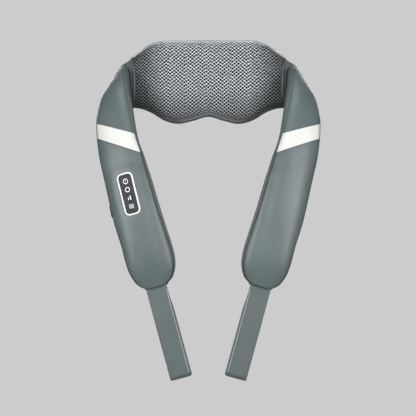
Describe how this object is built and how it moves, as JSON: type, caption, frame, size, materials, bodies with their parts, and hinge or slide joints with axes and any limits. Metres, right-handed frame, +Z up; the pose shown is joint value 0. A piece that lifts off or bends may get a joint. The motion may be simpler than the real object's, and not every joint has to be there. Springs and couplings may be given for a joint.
{
  "type": "shiatsu neck massager",
  "caption": "Shiatsu neck massager: mesh-faced pillow with rotating massage heads, two padded arms over the shoulders with an accent band, hand loops and a control panel.",
  "frame": {"origin": "middle of the mesh face of the pillow, where the nape rests", "axes": "+Z up as worn, -Y out of the mesh face towards the wearer's neck and chest, +X to the right of someone facing the mesh"},
  "size_m": [0.3208, 0.1793, 0.4882],
  "materials": {
    "grey_leather": "soft satin faux leather, fine grain",
    "dark_leather": "satin faux leather, fine grain",
    "white_leather": "smooth satin faux leather",
    "spacer_mesh": "open diamond spacer mesh over dark lining",
    "foam": "open-cell foam",
    "webbing": "folded faux leather strap with stitched edges",
    "black_plastic": "moulded, fine texture",
    "gloss_black_plastic": "polished",
    "button_plastic": "polished with white pictograms",
    "white_plastic": "satin white rim",
    "table_plastic": "moulded",
    "head_plastic": "soft coated",
    "gear_plastic": "natural acetal",
    "stiffener_plastic": "sheet",
    "brass": "machined",
    "sintered_bronze": "sintered",
    "shaft_steel": "ground",
    "motor_steel": "plated",
    "screw_steel": "plated",
    "ferrite": "sintered",
    "copper_winding": "enamelled wire and laminations",
    "battery_wrap": "shrink wrap",
    "circuit_board": "solder mask",
    "heating_film": "polyimide film"
  },
  "bodies": {
    "pillow": {"pillow_rear_cover": "grey_leather", "pillow_mesh_cover": "spacer_mesh", "pillow_foam_surround": "foam", "housing_front_plate": "black_plastic", "housing_rear_shell": "black_plastic", "housing_screws": "screw_steel", "heating_film": "heating_film", "turntable_bushes": "sintered_bronze", "worm_shaft_supports": "sintered_bronze", "motor_can": "motor_steel", "motor_end_bell": "black_plastic", "motor_magnets": "ferrite", "motor_clamp": "motor_steel", "battery_pack": "battery_wrap", "main_circuit_board": "circuit_board"},
    "drive_rotor": {"motor_armature": "copper_winding", "worm_shaft": "shaft_steel", "left_worm": "brass", "right_worm": "brass"},
    "left_massage_table": {"left_turntable": "table_plastic", "left_massage_heads": "head_plastic", "left_output_shaft": "shaft_steel", "left_worm_wheel": "gear_plastic"},
    "left_shoulder": {"left_shoulder_cover": "grey_leather", "left_accent_band": "white_leather", "left_shoulder_lining": "dark_leather", "left_shoulder_foam": "foam"},
    "left_arm": {"left_arm_cover": "grey_leather", "left_arm_lining": "dark_leather", "left_arm_foam": "foam", "left_arm_stiffener": "stiffener_plastic", "left_strap_tab": "webbing", "control_bezel": "white_plastic", "control_faceplate": "gloss_black_plastic", "control_circuit_board": "circuit_board", "control_tray": "black_plastic", "control_screws": "screw_steel", "charging_port": "shaft_steel", "charging_port_bezel": "gloss_black_plastic"},
    "left_loop": {"left_hand_loop": "webbing"},
    "right_massage_table": {"right_turntable": "table_plastic", "right_massage_heads": "head_plastic", "right_output_shaft": "shaft_steel", "right_worm_wheel": "gear_plastic"},
    "right_shoulder": {"right_shoulder_cover": "grey_leather", "right_accent_band": "white_leather", "right_shoulder_lining": "dark_leather", "right_shoulder_foam": "foam"},
    "right_arm": {"right_arm_cover": "grey_leather", "right_arm_lining": "dark_leather", "right_arm_foam": "foam", "right_arm_stiffener": "stiffener_plastic", "right_strap_tab": "webbing"},
    "right_loop": {"right_hand_loop": "webbing"},
    "power_button": {"power_button": "button_plastic"},
    "massage_mode_button": {"massage_mode_button": "button_plastic"},
    "intensity_button": {"intensity_button": "button_plastic"},
    "heat_button": {"heat_button": "button_plastic"}
  },
  "joints": [
    {"name": "left_arm_spread", "type": "hinge", "parent": "pillow", "child": "left_shoulder", "pos_m": [-0.12, 0.03, 0], "axis": [0, 0, -1], "range_deg": [-12, 35], "deforming": ["left_shoulder_cover", "left_shoulder_lining"]},
    {"name": "left_arm_flex", "type": "hinge", "parent": "left_shoulder", "child": "left_arm", "pos_m": [-0.1236, -0.06725, -0.1118], "axis": [-0.8759, 0.4353, 0.2081], "range_deg": [-15, 40], "deforming": ["left_arm_cover", "left_arm_lining"]},
    {"name": "left_loop_swing", "type": "hinge", "parent": "left_arm", "child": "left_loop", "pos_m": [-0.07256, -0.08, -0.30109], "axis": [-0.9646, 0, -0.2637], "range_deg": [-50, 50]},
    {"name": "left_table_spin", "type": "hinge", "parent": "pillow", "child": "left_massage_table", "pos_m": [-0.048, 0.03, -0.004], "axis": [0, 1, 0], "continuous": true},
    {"name": "right_arm_spread", "type": "hinge", "parent": "pillow", "child": "right_shoulder", "pos_m": [0.12, 0.03, 0], "axis": [0, 0, 1], "range_deg": [-12, 35], "deforming": ["right_shoulder_cover", "right_shoulder_lining"]},
    {"name": "right_arm_flex", "type": "hinge", "parent": "right_shoulder", "child": "right_arm", "pos_m": [0.1236, -0.06725, -0.1118], "axis": [-0.8759, -0.4353, -0.2081], "range_deg": [-15, 40], "deforming": ["right_arm_cover", "right_arm_lining"]},
    {"name": "right_loop_swing", "type": "hinge", "parent": "right_arm", "child": "right_loop", "pos_m": [0.07256, -0.08, -0.30109], "axis": [-0.9646, 0, 0.2637], "range_deg": [-50, 50]},
    {"name": "right_table_spin", "type": "hinge", "parent": "pillow", "child": "right_massage_table", "pos_m": [0.048, 0.03, -0.004], "axis": [0, 1, 0], "continuous": true},
    {"name": "drive_spin", "type": "hinge", "parent": "pillow", "child": "drive_rotor", "pos_m": [0, 0.052, 0.032], "axis": [1, 0, 0], "continuous": true},
    {"name": "power_press", "type": "slide", "parent": "left_arm", "child": "power_button", "axis": [0.3236, 0.9459, -0.0237], "range_m": [0, 0.0008], "stiffness_N_per_m": 350, "springref_m": -0.0008},
    {"name": "massage_mode_press", "type": "slide", "parent": "left_arm", "child": "massage_mode_button", "axis": [0.3236, 0.9459, -0.0237], "range_m": [0, 0.0008], "stiffness_N_per_m": 350, "springref_m": -0.0008},
    {"name": "intensity_press", "type": "slide", "parent": "left_arm", "child": "intensity_button", "axis": [0.3236, 0.9459, -0.0237], "range_m": [0, 0.0008], "stiffness_N_per_m": 350, "springref_m": -0.0008},
    {"name": "heat_press", "type": "slide", "parent": "left_arm", "child": "heat_button", "axis": [0.3236, 0.9459, -0.0237], "range_m": [0, 0.0008], "stiffness_N_per_m": 350, "springref_m": -0.0008}
  ],
  "couplings": [
    {"joint": "right_table_spin", "follows": "left_table_spin", "ratio": -1},
    {"joint": "drive_spin", "follows": "left_table_spin", "ratio": -48}
  ]
}
